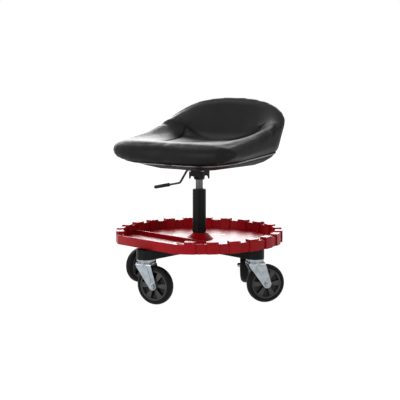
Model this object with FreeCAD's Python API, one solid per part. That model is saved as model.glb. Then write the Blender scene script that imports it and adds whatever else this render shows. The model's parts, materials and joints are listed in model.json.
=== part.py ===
import FreeCAD, Part
import math
import os

# Creeper seat: a padded bucket seat on a gas lift, over a round tool tray and a four-armed base on swivel casters.
# Sizes are in millimetres. +Z is up, the sitter faces -Y, and the origin is on the floor under the lift column.

Vec = FreeCAD.Vector
ORIGIN = Vec(0, 0, 0)
UP = Vec(0, 0, 1)
ACROSS = Vec(0, 1, 0)
ALONG = Vec(1, 0, 0)
FULL_TURN = 360.0
QUARTER_TURN = 90.0

# General clearances
running_fit = 0.06
axial_gap = 0.3
overrun = 2.0

# Caster wheel
wheel_diameter = 127.0
tyre_width = 32.0
tyre_shoulder_drop = 7.0
tyre_bead_depth = 14.0
tyre_bead_width = 26.0
tread_width_shares = (1.0, 0.68, 0.26)
tread_drop_shares = (1.0, 0.34, 0.0)
rim_depth = 5.5
rim_step = 1.8
web_thickness = 14.0
hub_radius = 14.5
hub_length = 36.0
window_count = 6
window_outer_radius = 8.6
window_inner_radius = 4.4
window_rim_margin = 3.0
window_hub_margin = 2.2
window_web = 3.0
bush_radius = 8.0

# Axle bolt
axle_radius = 5.0
axle_head_flats = 17.0
axle_head_height = 6.5
axle_nut_height = 8.0
axle_thread_end = 3.0

# Caster fork and swivel
fork_sheet = 3.0
fork_bend = 7.0
fork_trail = 36.0
fork_crown_radius = 27.0
fork_foot_radius = 13.5
fork_race_radius = 29.5
wheel_clearance = 6.0
rib_height = 1.4
rib_top_radius = 9.0
rib_foot_radius = 4.0
rib_top_drop = 16.0
rib_foot_rise = 21.0
ball_ring_height = 8.0
ball_ring_inner = 15.0
ball_ring_outer = 24.0
top_race_thickness = 3.0
top_race_lip = 2.6
kingpin_radius = 6.0
kingpin_head_radius = 10.0
kingpin_head_height = 6.5
kingpin_flange_radius = 12.0
kingpin_flange_height = 2.0
kingpin_nut_flats = 19.0
kingpin_nut_height = 10.0
kingpin_thread_end = 2.0

# Caster stations, by where they stand round the column and how each wheel trails at rest
caster_circle_radius = 252.0
station_angles = {"front": -90.0, "left": 0.0, "rear": 90.0, "right": 180.0}
trail_angles = {"front": 16.0, "left": 59.0, "rear": -56.0, "right": -94.0}

# Base legs
leg_height = 32.0
leg_sheet = 3.0
leg_pad_radius = 30.0
leg_root_radius = 20.0
leg_tab_radius = 120.0
leg_tab_length = 26.0

# Base hub
hub_tube_wall = 8.0
hub_tube_below = 10.0
hub_tube_above = 9.0

# Gas lift
column_radius = 23.0
column_wall = 2.5
column_length = 222.0
column_floor = 3.0
column_top = 354.0
cylinder_radius = 12.5
cylinder_wall = 2.0
cylinder_shown = 34.0
cylinder_inside = 174.0
cylinder_taper = 1.5
cylinder_end_wall = 6.0
lift_down = 28.0
lift_up = 92.0
bush_length = 58.0
bush_flange = 3.0
bush_flange_margin = 1.5
piston_rod_radius = 5.0
piston_spigot_radius = 4.0
piston_height = 12.0
piston_play = 0.4
bearing_height = 6.0
bearing_radius = 14.0
bumper_height = 9.0
bumper_radius = 9.5
clip_height = 2.0
clip_radius = 9.0
clip_groove = 1.2
spigot_end = 2.5

# Tray
tray_radius = 285.0
tray_wall = 3.0
tray_floor = 4.0
tray_rim_height = 39.0
tray_front_reach = 252.0
tray_front_height = 31.0
tray_ring_end = 20.0
flange_width = 26.0
tooth_count = 24
tooth_width = 38.0
tooth_taper_share = 0.9
recess_depth = 7.0
rim_rebate = 1.5
pleat_depth = 4.5
cone_base_radius = 49.0
cone_height = 23.0
cone_wall = 3.5
cone_top_wall = 3.0
divider_reach = 76.0
divider_height = 13.0
divider_thickness = 3.5
tray_screw_radius = 3.0
tray_screw_head_radius = 6.0
tray_screw_head_depth = 3.0
tray_screw_length = 14.0

# Seat mechanism under the seat
flange_size_x = 104.0
flange_size_y = 100.0
flange_corner = 12.0
mech_sheet = 3.0
mech_width = 56.0
mech_depth = 52.0
mech_height = 38.0
mech_corner = 7.0
lobe_cut_radius = 9.0
lobe_cut_place = 11.5
side_cut_radius = 15.0
bridge_drop = 22.0
socket_wall_low = 5.0
socket_wall_high = 7.5
cylinder_top_drop = 15.0

# Lever and release pin
pin_radius = 3.5
pin_depth = 20.0
lever_radius = 4.0
lever_drop = 8.0
lever_inner_reach = 6.0
lever_pivot_reach = 19.5
lever_sleeve_radius = 5.0
lever_sleeve_length = 24.0
lever_pivot_radius = 3.0
lever_pivot_head_radius = 5.0
lever_pivot_head_height = 2.5
lever_slot_margin = 2.2
lever_exit_reach = 51.0
lever_bend_reach = 83.0
lever_bend_drop = 47.0
lever_grip_reach = 128.0
lever_end_reach = 191.0
lever_end_drop = 69.0
lever_bend_radius = 13.0
grip_radius = 6.5
grip_neck_radius = 5.0
grip_wall_past_rod = 5.0
grip_round = 4.0

# Seat
seat_width = 500.0
seat_front_reach = 210.0
seat_back_reach = 225.0
seat_height = 232.0
seat_turn = 7.0
seat_shell_wall = 4.0
seat_board_flat = 9.0
back_thickness = 30.0
seam_rise = 39.5
seam_slope_share = 0.093
welt_width = 6.0
welt_proud = 2.0
welt_seat = 3.0
shell_rib_sheet = 3.0
shell_rib_pitch = 64.0
shell_rib_count = 2
seat_bolt_radius = 4.0
seat_bolt_x = 40.0
seat_bolt_y = 37.0
seat_bolt_head_flats = 13.0
seat_bolt_head_height = 5.3
seat_bolt_thread_end = 2.0
tee_nut_radius = 7.5
tee_nut_height = 8.0

# Side profiles of the seat, from its middle out to its side edge, as shares of the seat sizes above
profile_place_shares = (0.0, 0.14, 0.34, 0.56, 0.72, 0.84, 0.93, 0.98, 1.0)
nose_reach_shares = (0.975, 0.99, 1.0, 0.99, 0.96, 0.915, 0.84, 0.75, 0.68)
nose_low_shares = (0.112, 0.112, 0.112, 0.118, 0.134, 0.158, 0.19, 0.222, 0.244)
nose_top_shares = (0.356, 0.374, 0.396, 0.397, 0.394, 0.386, 0.361, 0.326, 0.297)
pan_shares = (0.350, 0.366, 0.386, 0.398, 0.432, 0.480, 0.484, 0.436, 0.380)
pan_back_shares = (0.362, 0.366, 0.376, 0.408, 0.484, 0.556, 0.566, 0.520, 0.465)
crease_shares = (0.500, 0.503, 0.512, 0.548, 0.604, 0.640, 0.635, 0.585, 0.530)
back_top_shares = (1.0, 1.0, 0.985, 0.942, 0.88, 0.808, 0.73, 0.66, 0.61)
back_reach_shares = (1.0, 0.998, 0.99, 0.965, 0.925, 0.865, 0.775, 0.675, 0.575)
back_thickness_shares = (1.0, 1.0, 1.0, 1.0, 0.97, 0.90, 0.74, 0.56, 0.40)
underside_front_shares = (0.0, 0.0, 0.0, 0.025, 0.065, 0.115, 0.18, 0.225, 0.25)
underside_rear_shares = (0.0, 0.0, 0.0, 0.025, 0.08, 0.145, 0.23, 0.3, 0.34)
nose_low_back_share = 0.22
nose_top_back_share = 0.48
nose_middle_share = 0.46
shoulder_drop_share = 0.42
crease_start_share = 0.40
crease_end_share = 0.62
crease_middle_share = 0.62
crease_sink_share = 0.28
heel_top_share = 0.80
heel_foot_share = 0.57
heel_rise_share = 0.25
underside_reach_share = 0.50
scale_centre_share = 0.5

# Levels worked out from the floor up
wheel_radius = wheel_diameter / 2
crown_underside = wheel_diameter + wheel_clearance
crown_top = crown_underside + fork_sheet
race_underside = crown_top + ball_ring_height
leg_underside = race_underside + top_race_thickness
leg_top = leg_underside + leg_height
floor_top = leg_top + tray_floor
rim_top = leg_top + tray_rim_height
recess_top = rim_top - recess_depth
column_bottom = column_top - column_length
bearing_foot = column_bottom + column_floor
bearing_top = bearing_foot + bearing_height
cylinder_bottom = column_top - cylinder_inside
mech_bottom = column_top + cylinder_shown
mech_top = mech_bottom + mech_height + mech_sheet
flange_underside = mech_bottom + mech_height
seat_underside = mech_top
cylinder_top = flange_underside - cylinder_top_drop
lever_level = flange_underside - lever_drop
fork_gap = hub_length + 2 * (running_fit + axial_gap)
fork_outer = fork_gap + 2 * fork_sheet
tyre_bead_radius = wheel_radius - tyre_bead_depth
seat_middle = seat_underside + seat_height * scale_centre_share


def arc(start, middle, end):
    """One arc edge through three points."""
    return Part.Arc(start, middle, end).toShape()


def line(start, end):
    """One straight edge."""
    return Part.LineSegment(start, end).toShape()


def disc_stack(radius, low, high):
    """A round bar about the column axis between two heights."""
    return Part.makeCylinder(radius, high - low, Vec(0, 0, low))


def tube(inner, outer, low, high):
    """A round tube about the column axis between two heights."""
    return disc_stack(outer, low, high).cut(disc_stack(inner, low - overrun, high + overrun))


def block(x_low, x_high, y_low, y_high, z_low, z_high):
    """A block between its lowest and highest corner."""
    return Part.makeBox(x_high - x_low, y_high - y_low, z_high - z_low, Vec(x_low, y_low, z_low))


def revolved(points):
    """A full turn about the column axis of a closed outline of (radius, height) points."""
    corners = [Vec(radius, 0, height) for radius, height in points]
    return Part.Face(Part.makePolygon(corners + corners[:1])).revolve(ORIGIN, UP, FULL_TURN)


def hex_bar(flats, low, high):
    """A hexagonal bar about the column axis, for bolt heads and nuts."""
    corner = flats / math.sqrt(3)
    turns = [math.radians(FULL_TURN * side / 6) for side in range(7)]
    corners = [Vec(corner * math.cos(turn), corner * math.sin(turn), low) for turn in turns]
    return Part.Face(Part.makePolygon(corners)).extrude(Vec(0, 0, high - low))


def round_ended(near_radius, far_radius, distance):
    """A flat face round two circles on the X axis, joined by their common tangents."""
    lean = math.acos((near_radius - far_radius) / distance)
    across = math.sin(lean)
    along = math.cos(lean)
    near_up = Vec(near_radius * along, near_radius * across, 0)
    near_down = Vec(near_radius * along, -near_radius * across, 0)
    far_up = Vec(distance + far_radius * along, far_radius * across, 0)
    far_down = Vec(distance + far_radius * along, -far_radius * across, 0)
    edges = [
        line(near_down, far_down),
        arc(far_down, Vec(distance + far_radius, 0, 0), far_up),
        line(far_up, near_up),
        arc(near_up, Vec(-near_radius, 0, 0), near_down),
    ]
    return Part.Face(Part.Wire(edges))


def rounded_plate(size_x, size_y, corner, low, high):
    """A flat plate with four rounded corners, centred on the column axis."""
    plate = block(-size_x / 2, size_x / 2, -size_y / 2, size_y / 2, low, high)
    upright = [edge for edge in plate.Edges if abs(edge.tangentAt(edge.FirstParameter).z) > scale_centre_share]
    return plate.makeFillet(corner, upright)


def turned(shape, angle, axis=UP, centre=ORIGIN):
    """A copy turned by an angle in degrees."""
    copy = shape.copy()
    copy.rotate(centre, axis, angle)
    return copy


def moved(shape, x, y, z):
    """A copy moved by a distance along each axis."""
    copy = shape.copy()
    copy.translate(Vec(x, y, z))
    return copy


def ring_of(shape, count, start=0):
    """Copies of a shape spread evenly round the column axis."""
    return [turned(shape, start + FULL_TURN * index / count) for index in range(count)]


def save(name, shape):
    """Writes one named piece to its own file."""
    shape.exportStep("parts/%s.step" % name)
    print("%-22s solids %d  volume %.0f  valid %s" % (name, len(shape.Solids), shape.Volume, shape.isValid()))


# Caster wheel, built about the Z axis and then laid on its axle
def tyre():
    """The rounded rubber tread ring."""
    half = tyre_width / 2
    upper = [(tyre_bead_radius, tyre_bead_width / 2)]
    for width_share, drop_share in zip(tread_width_shares, tread_drop_shares):
        upper.append((wheel_radius - tyre_shoulder_drop * drop_share, half * width_share))
    lower = [(radius, -height) for radius, height in reversed(upper)]
    return revolved(upper + lower)


def wheel_core():
    """The moulded wheel centre: hub, web with six blind windows from each side, and rim."""
    rim_inner = tyre_bead_radius - rim_depth
    rim_half = tyre_bead_width / 2
    web_half = web_thickness / 2
    hub_half = hub_length / 2
    upper = [
        (bush_radius, hub_half),
        (hub_radius, hub_half),
        (hub_radius, web_half),
        (rim_inner, web_half),
        (rim_inner, rim_half - rim_step),
        (rim_inner + rim_step, rim_half),
        (tyre_bead_radius, rim_half),
    ]
    lower = [(radius, -height) for radius, height in reversed(upper)]
    core = revolved(upper + lower)
    near = hub_radius + window_hub_margin + window_inner_radius
    far = rim_inner - window_rim_margin - window_outer_radius
    window = round_ended(window_inner_radius, window_outer_radius, far - near)
    window = window.extrude(Vec(0, 0, hub_length))
    for level in (window_web / 2, -window_web / 2 - hub_length):
        core = core.cut(ring_of(moved(window, near, 0, level), window_count))
    return core


def wheel_bush():
    """The plain bearing sleeve pressed in the wheel and running on the axle bolt."""
    half = fork_gap / 2 - axial_gap
    return tube(axle_radius + running_fit, bush_radius, -half, half)


def axle_bolt():
    """The hexagon bolt that carries the wheel."""
    half = fork_outer / 2
    shank = disc_stack(axle_radius, -half - axle_nut_height - axle_thread_end, half)
    return shank.fuse(hex_bar(axle_head_flats, half, half + axle_head_height)).removeSplitter()


def axle_nut():
    """The lock nut on the axle bolt."""
    half = fork_outer / 2
    nut = hex_bar(axle_head_flats, -half - axle_nut_height, -half)
    return nut.cut(disc_stack(axle_radius, -half - axle_nut_height - overrun, half))


def on_axle(shape):
    """Lays a shape built about Z along the axle of a caster whose swivel axis is the Z axis."""
    return moved(turned(shape, -QUARTER_TURN, ALONG), fork_trail, 0, wheel_radius)


# Caster fork
def fork_blank():
    """A folded strip: two legs and a crown with rounded bends, long enough for the whole side outline."""
    length = 2 * (fork_crown_radius + fork_trail)
    outer = block(-length / 2, length / 2, -fork_outer / 2, fork_outer / 2, 0, crown_top)
    top_edges = [edge for edge in outer.Edges if is_top_edge(edge, crown_top)]
    outer = outer.makeFillet(fork_bend, top_edges)
    inner = block(-length, length, -fork_gap / 2, fork_gap / 2, -overrun, crown_underside)
    top_edges = [edge for edge in inner.Edges if is_top_edge(edge, crown_underside)]
    return outer.cut(inner.makeFillet(fork_bend - fork_sheet, top_edges))


def is_top_edge(edge, height):
    """True for a straight edge that runs along X at the given height."""
    runs_along = abs(edge.tangentAt(edge.FirstParameter).x) > scale_centre_share
    return runs_along and abs(edge.CenterOfMass.z - height) < running_fit


def leg_direction():
    """Length and angle, below the horizontal, of the line from the crown down to the axle."""
    drop = crown_top - wheel_radius
    return math.hypot(fork_trail, drop), math.degrees(math.atan2(drop, fork_trail))


def side_outline(near_radius, far_radius, near_skip, far_skip, thickness):
    """A tapered plate along the fork leg's centre line, standing in the XZ plane and centred on it."""
    length, lean = leg_direction()
    face = round_ended(near_radius, far_radius, length - near_skip - far_skip)
    plate = moved(face.extrude(Vec(0, 0, thickness)), near_skip, 0, -thickness / 2)
    plate = turned(turned(plate, QUARTER_TURN, ALONG), lean, ACROSS)
    return moved(plate, 0, 0, crown_top)


def fork():
    """The pressed fork: two tapered legs with a raised rib each, a crown, and the lower race plate."""
    width = fork_outer + 2 * overrun
    outline = side_outline(fork_crown_radius, fork_foot_radius, 0, 0, width)
    body = fork_blank().common(outline)
    rib_width = fork_outer + 2 * rib_height
    rib = side_outline(rib_top_radius, rib_foot_radius, rib_top_drop, rib_foot_rise, rib_width)
    rib_hollow = block(-tray_radius, tray_radius, -fork_outer / 2, fork_outer / 2, 0, crown_top)
    body = body.fuse(rib.cut(rib_hollow))
    body = body.fuse(disc_stack(fork_race_radius, crown_underside, crown_top))
    body = body.cut(disc_stack(kingpin_radius + running_fit, 0, crown_top + overrun))
    return body.cut(on_axle(disc_stack(axle_radius, -width, width)))


def ball_ring():
    """The caged ball ring between the fork's race and the upper race."""
    return tube(ball_ring_inner, ball_ring_outer, crown_top, race_underside - axial_gap)


def top_race():
    """The upper race: a pressed cup under the leg pad, with a lip over the ball ring."""
    plate = tube(kingpin_radius, fork_race_radius, race_underside, leg_underside)
    lip = tube(fork_race_radius - top_race_thickness, fork_race_radius, race_underside - top_race_lip, race_underside)
    return plate.fuse(lip).removeSplitter()


def kingpin():
    """The swivel pin: a headed pin from below the crown, up through the leg pad."""
    head_top = crown_underside - axial_gap
    head = disc_stack(kingpin_head_radius, head_top - kingpin_head_height, head_top)
    thread_top = leg_underside + leg_sheet + kingpin_flange_height + kingpin_nut_height + kingpin_thread_end
    return head.fuse(disc_stack(kingpin_radius, head_top - kingpin_head_height, thread_top)).removeSplitter()


def kingpin_nut():
    """The flanged lock nut inside the leg channel."""
    low = leg_underside + leg_sheet
    flange_top = low + kingpin_flange_height
    nut = disc_stack(kingpin_flange_radius, low, flange_top)
    nut = nut.fuse(hex_bar(kingpin_nut_flats, flange_top, flange_top + kingpin_nut_height))
    return nut.cut(disc_stack(kingpin_radius, 0, leg_top)).removeSplitter()


def at_station(shape, station, trail=True):
    """Places a shape built about a swivel axis at its caster station."""
    spot = math.radians(station_angles[station])
    shape = turned(shape, trail_angles[station] if trail else station_angles[station])
    return moved(shape, caster_circle_radius * math.cos(spot), caster_circle_radius * math.sin(spot), 0)


# Base
def base_leg():
    """One pressed channel leg along +X, open at the top, with a wide round pad at its end."""
    outer = round_ended(leg_root_radius, leg_pad_radius, caster_circle_radius)
    inner = round_ended(leg_root_radius - leg_sheet, leg_pad_radius - leg_sheet, caster_circle_radius)
    channel = moved(outer.extrude(Vec(0, 0, leg_height)), 0, 0, leg_underside)
    hollow = moved(inner.extrude(Vec(0, 0, leg_height)), 0, 0, leg_underside + leg_sheet)
    leg = channel.cut(hollow)
    half = leg_pad_radius
    tab_low = leg_tab_radius - leg_tab_length / 2
    tab = block(tab_low, tab_low + leg_tab_length, -half, half, leg_top - leg_sheet, leg_top)
    leg = leg.fuse(tab.common(channel))
    leg = leg.cut(moved(disc_stack(tray_screw_radius, 0, leg_top + overrun), leg_tab_radius, 0, leg_sheet + leg_underside))
    leg = leg.cut(moved(disc_stack(kingpin_radius, 0, leg_top), caster_circle_radius, 0, 0))
    return leg.cut(disc_stack(column_radius + hub_tube_wall, 0, rim_top))


def base_hub():
    """The central tube that the four legs are welded to and the column stands in."""
    low = leg_underside - hub_tube_below
    high = leg_top + hub_tube_above
    return tube(column_radius, column_radius + hub_tube_wall, low, high)


# Gas lift
def column_tube():
    """The black outer tube, closed at its foot but for the piston rod."""
    shell = disc_stack(column_radius, column_bottom, column_top)
    shell = shell.cut(disc_stack(column_radius - column_wall, bearing_foot, column_top + overrun))
    return shell.cut(disc_stack(piston_spigot_radius + piston_play, 0, column_top))


def guide_bush():
    """The plastic guide in the mouth of the column, with a thin flange on top."""
    sleeve = disc_stack(column_radius - column_wall, column_top - bush_length, column_top)
    flange = disc_stack(column_radius - bush_flange_margin, column_top, column_top + bush_flange)
    bore = disc_stack(cylinder_radius + running_fit, 0, column_top + bush_flange + overrun)
    return sleeve.fuse(flange).cut(bore).removeSplitter()


def thrust_bearing():
    """The thrust ring on the column floor that the piston rod's shoulder turns on."""
    return tube(piston_spigot_radius + running_fit, bearing_radius, bearing_foot, bearing_top - axial_gap)


def piston_rod():
    """The piston rod: spigot through the column floor, shoulder, rod and piston."""
    piston_top = cylinder_bottom + cylinder_end_wall + lift_up + axial_gap + overrun + piston_height
    piston_radius = cylinder_radius - cylinder_wall - running_fit
    spigot_low = column_bottom - clip_height - spigot_end
    rod = disc_stack(piston_spigot_radius, spigot_low, bearing_top)
    rod = rod.fuse(disc_stack(piston_rod_radius, bearing_top, piston_top))
    rod = rod.fuse(disc_stack(piston_radius, piston_top - piston_height, piston_top))
    groove_low = column_bottom - clip_height
    groove = tube(piston_spigot_radius - clip_groove, piston_rod_radius, groove_low, column_bottom - axial_gap)
    return rod.cut(groove).removeSplitter()


def rod_clip():
    """The spring clip that holds the piston rod in the column floor."""
    return tube(piston_spigot_radius - clip_groove, clip_radius, column_bottom - clip_height, column_bottom - axial_gap)


def rod_bumper():
    """The rubber stop round the foot of the piston rod."""
    return tube(piston_rod_radius, bumper_radius, bearing_top, bearing_top + bumper_height)


def gas_cylinder():
    """The pressure tube that slides in the column, with a taper at its head and a gland at its foot."""
    taper_low = mech_bottom
    inner = cylinder_radius - cylinder_wall
    outline = [
        (piston_rod_radius + running_fit, cylinder_bottom),
        (cylinder_radius, cylinder_bottom),
        (cylinder_radius, taper_low),
        (cylinder_radius + cylinder_taper, cylinder_top),
        (pin_radius + running_fit, cylinder_top),
        (pin_radius + running_fit, cylinder_top - pin_depth),
        (inner, cylinder_top - pin_depth),
        (inner, cylinder_bottom + cylinder_end_wall),
        (piston_rod_radius + running_fit, cylinder_bottom + cylinder_end_wall),
    ]
    return revolved(outline)


def release_pin():
    """The valve pin in the head of the cylinder that the lever presses."""
    foot = cylinder_top - pin_depth + axial_gap
    return disc_stack(pin_radius, foot, lever_level - lever_radius - axial_gap)


# Tray
def front_side(shape, reach):
    """Keeps what lies behind a plane across the tray at the given reach in front of the column."""
    wide = 2 * tray_radius
    return shape.cut(block(-wide, wide, -wide, -reach, 0, column_top))


def tooth_wedge(narrowing, low, high):
    """One wedge that stands where a tooth of the castellated rim stands, less a narrowing on each side."""
    outer_half = tooth_width / 2 - narrowing
    inner_half = tooth_width * tooth_taper_share / 2 - narrowing
    inner_x = tray_radius - flange_width - overrun
    outer_x = tray_radius + overrun
    corners = [
        Vec(inner_x, -inner_half, low),
        Vec(outer_x, -outer_half, low),
        Vec(outer_x, outer_half, low),
        Vec(inner_x, inner_half, low),
    ]
    return Part.Face(Part.makePolygon(corners + corners[:1])).extrude(Vec(0, 0, high - low))


def castellated_ring(offset, low, top_drop):
    """The rim's outer form, or the hollow inside it when an offset is given."""
    inner = tray_radius - flange_width
    low_ring = tube(
        inner + pleat_depth + offset, tray_radius - pleat_depth - offset, low, recess_top - top_drop)
    full_ring = tube(inner + offset, tray_radius - offset, low, rim_top - top_drop)
    pitch = FULL_TURN / tooth_count
    wedges = ring_of(tooth_wedge(offset, low - overrun, rim_top), tooth_count, pitch / 2)
    teeth = full_ring.common(Part.makeCompound(wedges))
    ring = low_ring.fuse(teeth).removeSplitter()
    return front_side(ring, tray_front_reach - tray_ring_end - offset)


def hub_cone():
    """The hollow cone that rises round the column."""
    inner_top = column_radius + axial_gap
    outer_top = inner_top + cone_top_wall
    crown = floor_top + cone_height
    outline = [
        (cone_base_radius - cone_wall, leg_top),
        (cone_base_radius + cone_wall, leg_top),
        (cone_base_radius + cone_wall, floor_top),
        (cone_base_radius, floor_top),
        (outer_top, crown),
        (inner_top, crown),
        (inner_top, crown - cone_wall),
    ]
    return revolved(outline)


def tray():
    """The moulded pan of the tool tray: floor with a rebate for the rim, straight front wall, divider and hub cone."""
    front_top = leg_top + tray_front_height
    pan = front_side(disc_stack(tray_radius, leg_top, front_top), tray_front_reach)
    hollow = disc_stack(tray_radius - tray_wall, floor_top, front_top + overrun)
    pan = pan.cut(front_side(hollow, tray_front_reach - tray_wall))
    rim_foot = tray_radius - flange_width - axial_gap
    floor_edge = tray_radius - pleat_depth - tray_wall - axial_gap
    swept = tube(floor_edge, tray_radius + overrun, leg_top - overrun, front_top + overrun)
    rebate = tube(rim_foot, tray_radius, floor_top - rim_rebate, front_top)
    pan = pan.cut(front_side(swept.fuse(rebate), tray_front_reach - tray_ring_end))
    reach = divider_reach + divider_thickness / 2
    divider = block(-rim_foot, rim_foot, -reach, -reach + divider_thickness, leg_top + tray_wall, floor_top + divider_height)
    body = pan.fuse(divider.common(disc_stack(rim_foot, leg_top, rim_top)))
    body = body.cut(disc_stack(cone_base_radius - cone_wall, 0, rim_top)).fuse(hub_cone())
    shank_hole = disc_stack(tray_screw_radius, 0, column_top)
    hole = shank_hole.fuse(countersunk_head(axial_gap))
    return body.cut(ring_of(moved(hole, leg_tab_radius, 0, 0), len(station_angles))).removeSplitter()


def tray_rim():
    """The moulded castellated rim: a hollow ring with teeth that stands in the pan's rebate."""
    ring = castellated_ring(0, leg_top, 0).cut(castellated_ring(tray_wall, leg_top - overrun, tray_wall))
    return ring.cut(disc_stack(tray_radius - pleat_depth - tray_wall, 0, floor_top - rim_rebate)).removeSplitter()


def countersunk_head(margin):
    """The conical head of a tray screw on the column axis, or its seat when a margin is given."""
    shank = tray_screw_radius + margin
    head = tray_screw_head_radius + margin
    return Part.makeCone(shank, head, tray_screw_head_depth, Vec(0, 0, floor_top - tray_screw_head_depth))


def tray_screw():
    """A countersunk self-tapping screw through the tray floor into a leg tab."""
    shank = disc_stack(tray_screw_radius, floor_top - tray_screw_length, floor_top - tray_screw_head_depth)
    return moved(shank.fuse(countersunk_head(0)).removeSplitter(), leg_tab_radius, 0, 0)


# Seat mechanism
def mechanism_plate():
    """The pressed plate under the seat: flange, skirt with downturned lobes, and the bridge that holds the socket."""
    flange = rounded_plate(flange_size_x, flange_size_y, flange_corner, flange_underside, mech_top)
    skirt = rounded_plate(mech_width, mech_depth, mech_corner, mech_bottom + mech_sheet, flange_underside)
    inner_corner = mech_corner - mech_sheet
    hollow_top = flange_underside + overrun
    hollow = rounded_plate(mech_width - 2 * mech_sheet, mech_depth - 2 * mech_sheet, inner_corner, 0, hollow_top)
    skirt = skirt.cut(hollow)
    cut_level = mech_bottom + mech_sheet
    for side in (-lobe_cut_place, lobe_cut_place):
        lobe = Part.makeCylinder(lobe_cut_radius, 2 * mech_depth, Vec(side, -mech_depth, cut_level), ACROSS)
        skirt = skirt.cut(lobe)
    skirt = skirt.cut(Part.makeCylinder(side_cut_radius, 2 * mech_width, Vec(-mech_width, 0, cut_level), ALONG))
    bridge_top = flange_underside - bridge_drop + mech_sheet
    bridge = rounded_plate(
        mech_width - mech_sheet, mech_depth - mech_sheet, inner_corner, bridge_top - mech_sheet, bridge_top)
    plate = flange.fuse([skirt, bridge])
    plate = plate.cut(socket_form(0))
    slot_half = lever_radius + lever_slot_margin
    slot = block(-mech_width, -lever_pivot_reach, -slot_half, slot_half, lever_level - slot_half, flange_underside)
    plate = plate.cut(slot)
    plate = plate.cut(pivot_bar(lever_pivot_radius, mech_depth))
    return plate.cut(seat_bolt_places(disc_stack(seat_bolt_radius, 0, mech_top + overrun))).removeSplitter()


def socket_form(inset):
    """The outer cone of the taper socket, or its bore when an inset is given."""
    bore_low = cylinder_radius
    bore_high = cylinder_radius + cylinder_taper
    low = bore_low if inset else bore_low + socket_wall_low
    high = bore_high if inset else bore_high + socket_wall_high
    return Part.makeCone(low, high, cylinder_top - mech_bottom, Vec(0, 0, mech_bottom))


def taper_socket():
    """The conical socket that grips the head of the gas cylinder."""
    return socket_form(0).cut(socket_form(1))


def pivot_bar(radius, length):
    """A bar along the lever's pivot axis, centred across the mechanism."""
    return Part.makeCylinder(radius, length, Vec(-lever_pivot_reach, -length / 2, lever_level), ACROSS)


def lever_pivot():
    """The headed pin that the lever rocks on."""
    head_length = mech_depth + 2 * lever_pivot_head_height
    heads = pivot_bar(lever_pivot_head_radius, head_length).cut(pivot_bar(lever_pivot_head_radius + overrun, mech_depth))
    return heads.fuse(pivot_bar(lever_pivot_radius, head_length)).removeSplitter()


def bent_bar(points, bend_radius, bar_radius):
    """A round bar along straight runs in the XZ plane, joined by tangent bends."""
    edges = []
    start = points[0]
    for corner, after in zip(points[1:-1], points[2:]):
        before_dir = (start - corner).normalize()
        after_dir = (after - corner).normalize()
        half_angle = before_dir.getAngle(after_dir) / 2
        setback = bend_radius / math.tan(half_angle)
        bend_start = corner + before_dir * setback
        bend_end = corner + after_dir * setback
        bisector = (before_dir + after_dir).normalize()
        bend_middle = corner + bisector * (bend_radius / math.sin(half_angle) - bend_radius)
        edges += [line(start, bend_start), arc(bend_start, bend_middle, bend_end)]
        start = bend_end
    edges.append(line(start, points[-1]))
    circle = Part.Wire(Part.makeCircle(bar_radius, points[0], points[1] - points[0]))
    return Part.Wire(edges).makePipeShell([circle], True, False)


def lever_points():
    """The corners of the lever rod, from over the release pin out to its end in the grip."""
    return [
        Vec(lever_inner_reach, 0, lever_level),
        Vec(-lever_exit_reach, 0, lever_level),
        Vec(-lever_bend_reach, 0, lever_level - lever_bend_drop),
        Vec(-lever_end_reach, 0, lever_level - lever_end_drop),
    ]


def lever_rod():
    """The bent rod with its pivot sleeve."""
    rod = bent_bar(lever_points(), lever_bend_radius, lever_radius)
    rod = rod.fuse(pivot_bar(lever_sleeve_radius, lever_sleeve_length))
    return rod.cut(pivot_bar(lever_pivot_radius + running_fit, mech_depth)).removeSplitter()


def lever_grip():
    """The slim moulded grip over the end of the rod, with a soft taper and round ends."""
    end = lever_points()[-1]
    bend = lever_points()[-2]
    direction = (end - bend).normalize()
    run = (lever_end_reach - lever_grip_reach) / abs(direction.x)
    tip = run + grip_wall_past_rod
    outline = [
        (lever_radius, 0),
        (grip_neck_radius, 0),
        (grip_radius, grip_round),
        (grip_radius, tip - grip_round),
        (grip_neck_radius, tip),
        (0, tip),
        (0, run),
        (lever_radius, run),
    ]
    grip = revolved(outline)
    grip.Placement = FreeCAD.Placement(end - direction * run, FreeCAD.Rotation(UP, direction))
    return grip


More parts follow.
